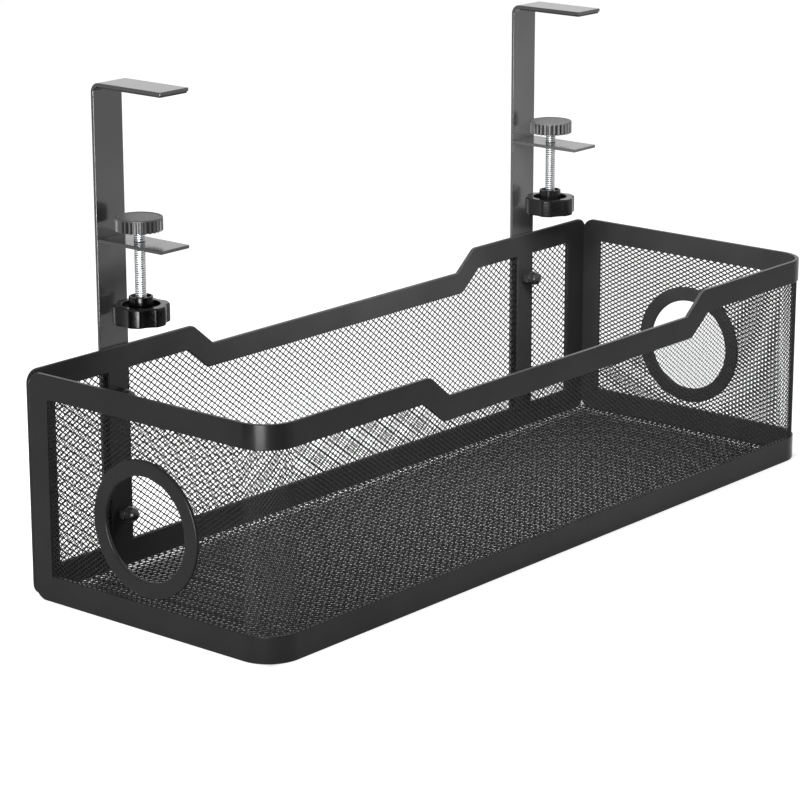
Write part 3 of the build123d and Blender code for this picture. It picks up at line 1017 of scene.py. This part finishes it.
def outside_painted_shadow(nodes, links):
    """Mask of the painted shadow under the tray: 1 outside the tray's footprint, and 0 under its mesh floor,
    inside the bottom rails' width.
    """
    coordinates = nodes.new("ShaderNodeTexCoord")
    split = nodes.new("ShaderNodeSeparateXYZ")
    links.new(coordinates.outputs["Object"], split.inputs[0])
    inside = None
    for axis, reach in (("X", tray_high.x), ("Y", tray_high.y)):
        size = nodes.new("ShaderNodeMath")
        size.operation = "ABSOLUTE"
        links.new(split.outputs[axis], size.inputs[0])
        depth = nodes.new("ShaderNodeMath")
        depth.operation = "SUBTRACT"
        depth.inputs[1].default_value = reach
        links.new(size.outputs[0], depth.inputs[0])
        if inside is None:
            inside = depth.outputs[0]
            continue
        nearest = nodes.new("ShaderNodeMath")
        nearest.operation = "MAXIMUM"
        links.new(inside, nearest.inputs[0])
        links.new(depth.outputs[0], nearest.inputs[1])
        inside = nearest.outputs[0]
    clear_of_painted_shadow = nodes.new("ShaderNodeMapRange")
    clear_of_painted_shadow.interpolation_type = "SMOOTHSTEP"
    clear_of_painted_shadow.inputs["From Min"].default_value = -BOTTOM_RAIL
    clear_of_painted_shadow.inputs["From Max"].default_value = 0
    links.new(inside, clear_of_painted_shadow.inputs["Value"])
    return clear_of_painted_shadow.outputs["Result"]


def seen_directly(nodes, links):
    """1 for what the camera, a mirror or clear glass sees, and 0 for light on the tray."""
    path = nodes.new("ShaderNodeLightPath")
    total = path.outputs["Is Camera Ray"]
    for name in ("Is Glossy Ray", "Is Transmission Ray"):
        node = nodes.new("ShaderNodeMath")
        node.operation = "MAXIMUM"
        links.new(total, node.inputs[0])
        links.new(path.outputs[name], node.inputs[1])
        total = node.outputs[0]
    return total


def make_world():
    """Plain white room: a soft light on the tray, and a white background."""
    world = bpy.data.worlds.new("white_room")
    bpy.context.scene.world = world
    world.use_nodes = True
    nodes, links = world.node_tree.nodes, world.node_tree.links
    strength = nodes.new("ShaderNodeMapRange")
    strength.inputs["To Min"].default_value = AMBIENT
    strength.inputs["To Max"].default_value = 1.0
    links.new(seen_directly(nodes, links), strength.inputs["Value"])
    links.new(strength.outputs["Result"], nodes["Background"].inputs["Strength"])
    nodes["Background"].inputs["Color"].default_value = (1, 1, 1, 1)


def make_lamp(name, place_at, aim, size, power, in_gloss=True, on_matt=True):
    """Soft rectangular lamp that looks at a point. It may be kept from gloss, or from matt surfaces."""
    lamp = bpy.data.lights.new(name, "AREA")
    lamp.shape = "RECTANGLE"
    lamp.size, lamp.size_y = size
    lamp.energy = power
    holder = bpy.data.objects.new(name, lamp)
    holder.visible_camera = False
    holder.visible_glossy = in_gloss
    holder.visible_diffuse = on_matt
    bpy.context.scene.collection.objects.link(holder)
    holder.location = place_at
    holder.rotation_mode = "QUATERNION"
    holder.rotation_quaternion = (Vector(aim) - Vector(place_at)).to_track_quat("-Z", "Y")


def beside_bend(bearing, distance):
    """Place beside the left front bend, as high as the tray. The bearing turns from left to front."""
    turned = math.radians(bearing)
    x = tray_low.x + BEND_RADIUS - distance * math.cos(turned)
    y = tray_low.y + BEND_RADIUS - distance * math.sin(turned)
    return Vector((x, y, tray_high.z))


def make_card(name, place_at, size):
    """Dark card that only gloss sees, for a dark band beside the bright one on the bend."""
    bpy.ops.object.select_all(action="DESELECT")
    bpy.ops.mesh.primitive_plane_add(size=1, location=place_at)
    card = bpy.context.object
    card.name = name
    card.scale = (*size, 1)
    card.rotation_mode = "QUATERNION"
    card.rotation_quaternion = (beside_bend(0, 0) - place_at).to_track_quat("Z", "Y")
    card.visible_camera = card.visible_diffuse = card.visible_transmission = card.visible_shadow = False
    material = bpy.data.materials.new("card_black")
    material.use_nodes = True
    shader = material.node_tree.nodes["Principled BSDF"]
    shader.inputs["Base Color"].default_value = (0, 0, 0, 1)
    shader.inputs["Specular IOR Level"].default_value = 0
    card.data.materials.append(material)


def make_camera():
    """The photograph's camera."""
    camera = bpy.data.objects.new("camera", bpy.data.cameras.new("camera"))
    bpy.context.scene.collection.objects.link(camera)
    camera.data.lens = CAMERA_LENS
    camera.data.clip_start, camera.data.clip_end = 0.05, 50
    turn = Matrix.Rotation(-CAMERA_TURN, 4, "Z") @ Matrix.Rotation(math.pi / 2 - CAMERA_DOWN, 4, "X")
    camera.matrix_world = Matrix.Translation(CAMERA_PLACE) @ turn @ Matrix.Rotation(CAMERA_ROLL, 4, "Z")
    bpy.context.scene.camera = camera


make_floor()
make_world()
over_tray = (0, 0, tray_high.z)
make_lamp("overhead", (0, 0.25, 1.3), over_tray, (1.6, 1.0), 4)
make_lamp("behind", (0.99, 0.84, 0.75), over_tray, (1.6, 0.8), 0.9)
make_lamp("right_front", (1.3, -1.2, 0.35), over_tray, (0.9, 0.5), 2.0)
make_lamp("left_front", (-0.95, -0.25, 0.3), (-0.2, 0, 0.08), (0.5, 0.4), 2.4, in_gloss=False)
make_lamp("over_inside", (0.02, 0, 0.2), (0.04, 0.04, 0.03), (0.2, 0.06), 0.8, in_gloss=False)
make_lamp("bend_strip", beside_bend(24, 0.35), beside_bend(0, 0), (0.17, 0.2), 4.6, on_matt=False)
make_card("card_left", beside_bend(-18, 0.3), (0.16, 0.25))
make_card("card_front", beside_bend(78, 0.3), (0.28, 0.25))
make_camera()
bpy.context.scene.view_settings.view_transform = "Standard"
